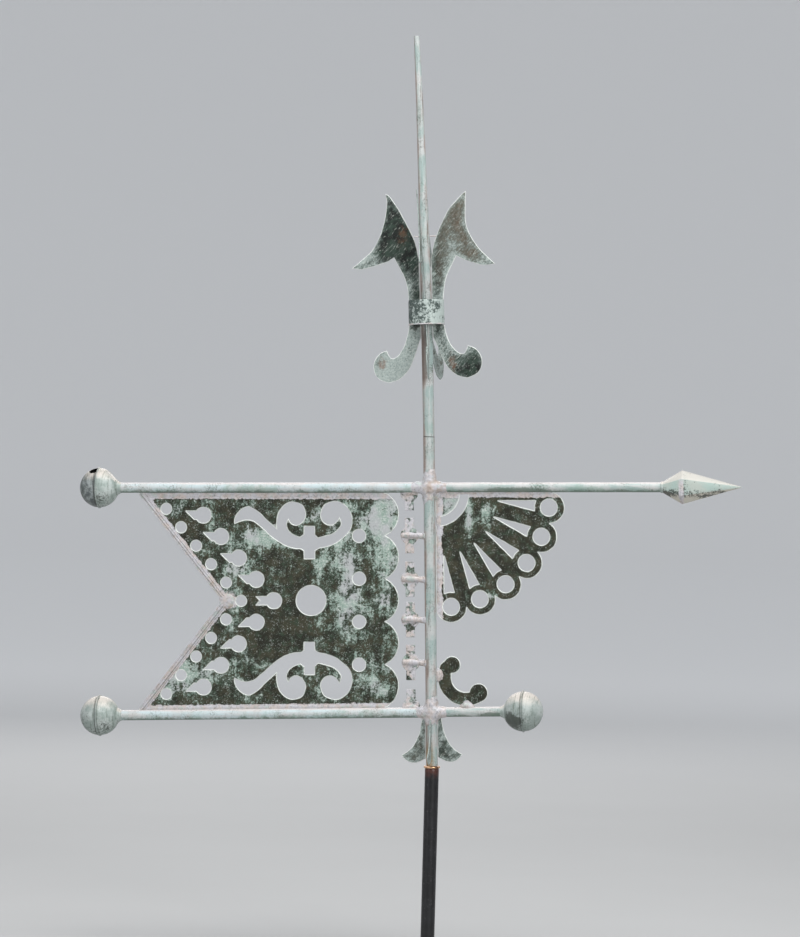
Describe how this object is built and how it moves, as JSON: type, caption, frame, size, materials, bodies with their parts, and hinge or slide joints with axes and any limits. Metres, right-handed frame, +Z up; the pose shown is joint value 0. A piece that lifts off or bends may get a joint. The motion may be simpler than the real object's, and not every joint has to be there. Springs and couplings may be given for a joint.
{
  "type": "banner weathervane",
  "caption": "Banner weathervane of soldered sheet copper: pierced swallow-tail banner, quarter fan, arrow and leafed spire turning on an iron pole.",
  "frame": {"origin": "centre of the pole's flat-cut foot", "axes": "+Z up along the pole, +X towards the arrowhead, the side seen in the picture faces -Y"},
  "size_m": [1.2076, 0.2594, 1.6686],
  "materials": {
    "tube_copper": "pale verdigris over copper tube, soldered",
    "sheet_copper": "olive brown sheet copper mottled with verdigris",
    "leaf_copper": "teal verdigris over cut sheet copper",
    "ball_copper": "green and grey verdigris",
    "pole_iron": "black paint, worn to rust at the top",
    "ring_brass": "bright worn metal"
  },
  "bodies": {
    "pole": {"pole": "pole_iron", "pole_ring": "ring_brass"},
    "vane": {"mast": "tube_copper", "spire": "tube_copper", "arm_top_left": "tube_copper", "arm_top_right": "tube_copper", "arm_bottom_left": "tube_copper", "arm_bottom_right": "tube_copper", "brace_wire": "tube_copper", "notch_strip_upper": "tube_copper", "notch_strip_lower": "tube_copper", "half_spool_top": "tube_copper", "half_spool_bottom": "tube_copper", "spool_1": "tube_copper", "spool_2": "tube_copper", "spool_3": "tube_copper", "spool_4": "tube_copper", "spool_arm_1": "tube_copper", "spool_arm_2": "tube_copper", "spool_arm_3": "tube_copper", "spool_arm_4": "tube_copper", "banner_panel": "sheet_copper", "fan": "sheet_copper", "corner_gusset": "sheet_copper", "scroll_bracket": "sheet_copper", "finial_leaf_left": "leaf_copper", "finial_leaf_right": "leaf_copper", "finial_leaf_front": "leaf_copper", "finial_leaf_rear": "leaf_copper", "finial_collar": "leaf_copper", "base_leaf_left": "leaf_copper", "base_leaf_right": "leaf_copper", "base_leaf_front": "leaf_copper", "base_leaf_rear": "leaf_copper", "ball_top_left_inner": "ball_copper", "ball_top_left_outer": "ball_copper", "ball_bottom_left_inner": "ball_copper", "ball_bottom_left_outer": "ball_copper", "ball_bottom_right_inner": "ball_copper", "ball_bottom_right_outer": "ball_copper", "arrowhead": "ball_copper"}
  },
  "joints": [
    {"name": "turn", "type": "hinge", "parent": "pole", "child": "vane", "pos_m": [0, 0, 0.3577], "axis": [0, 0, 1], "continuous": true}
  ]
}
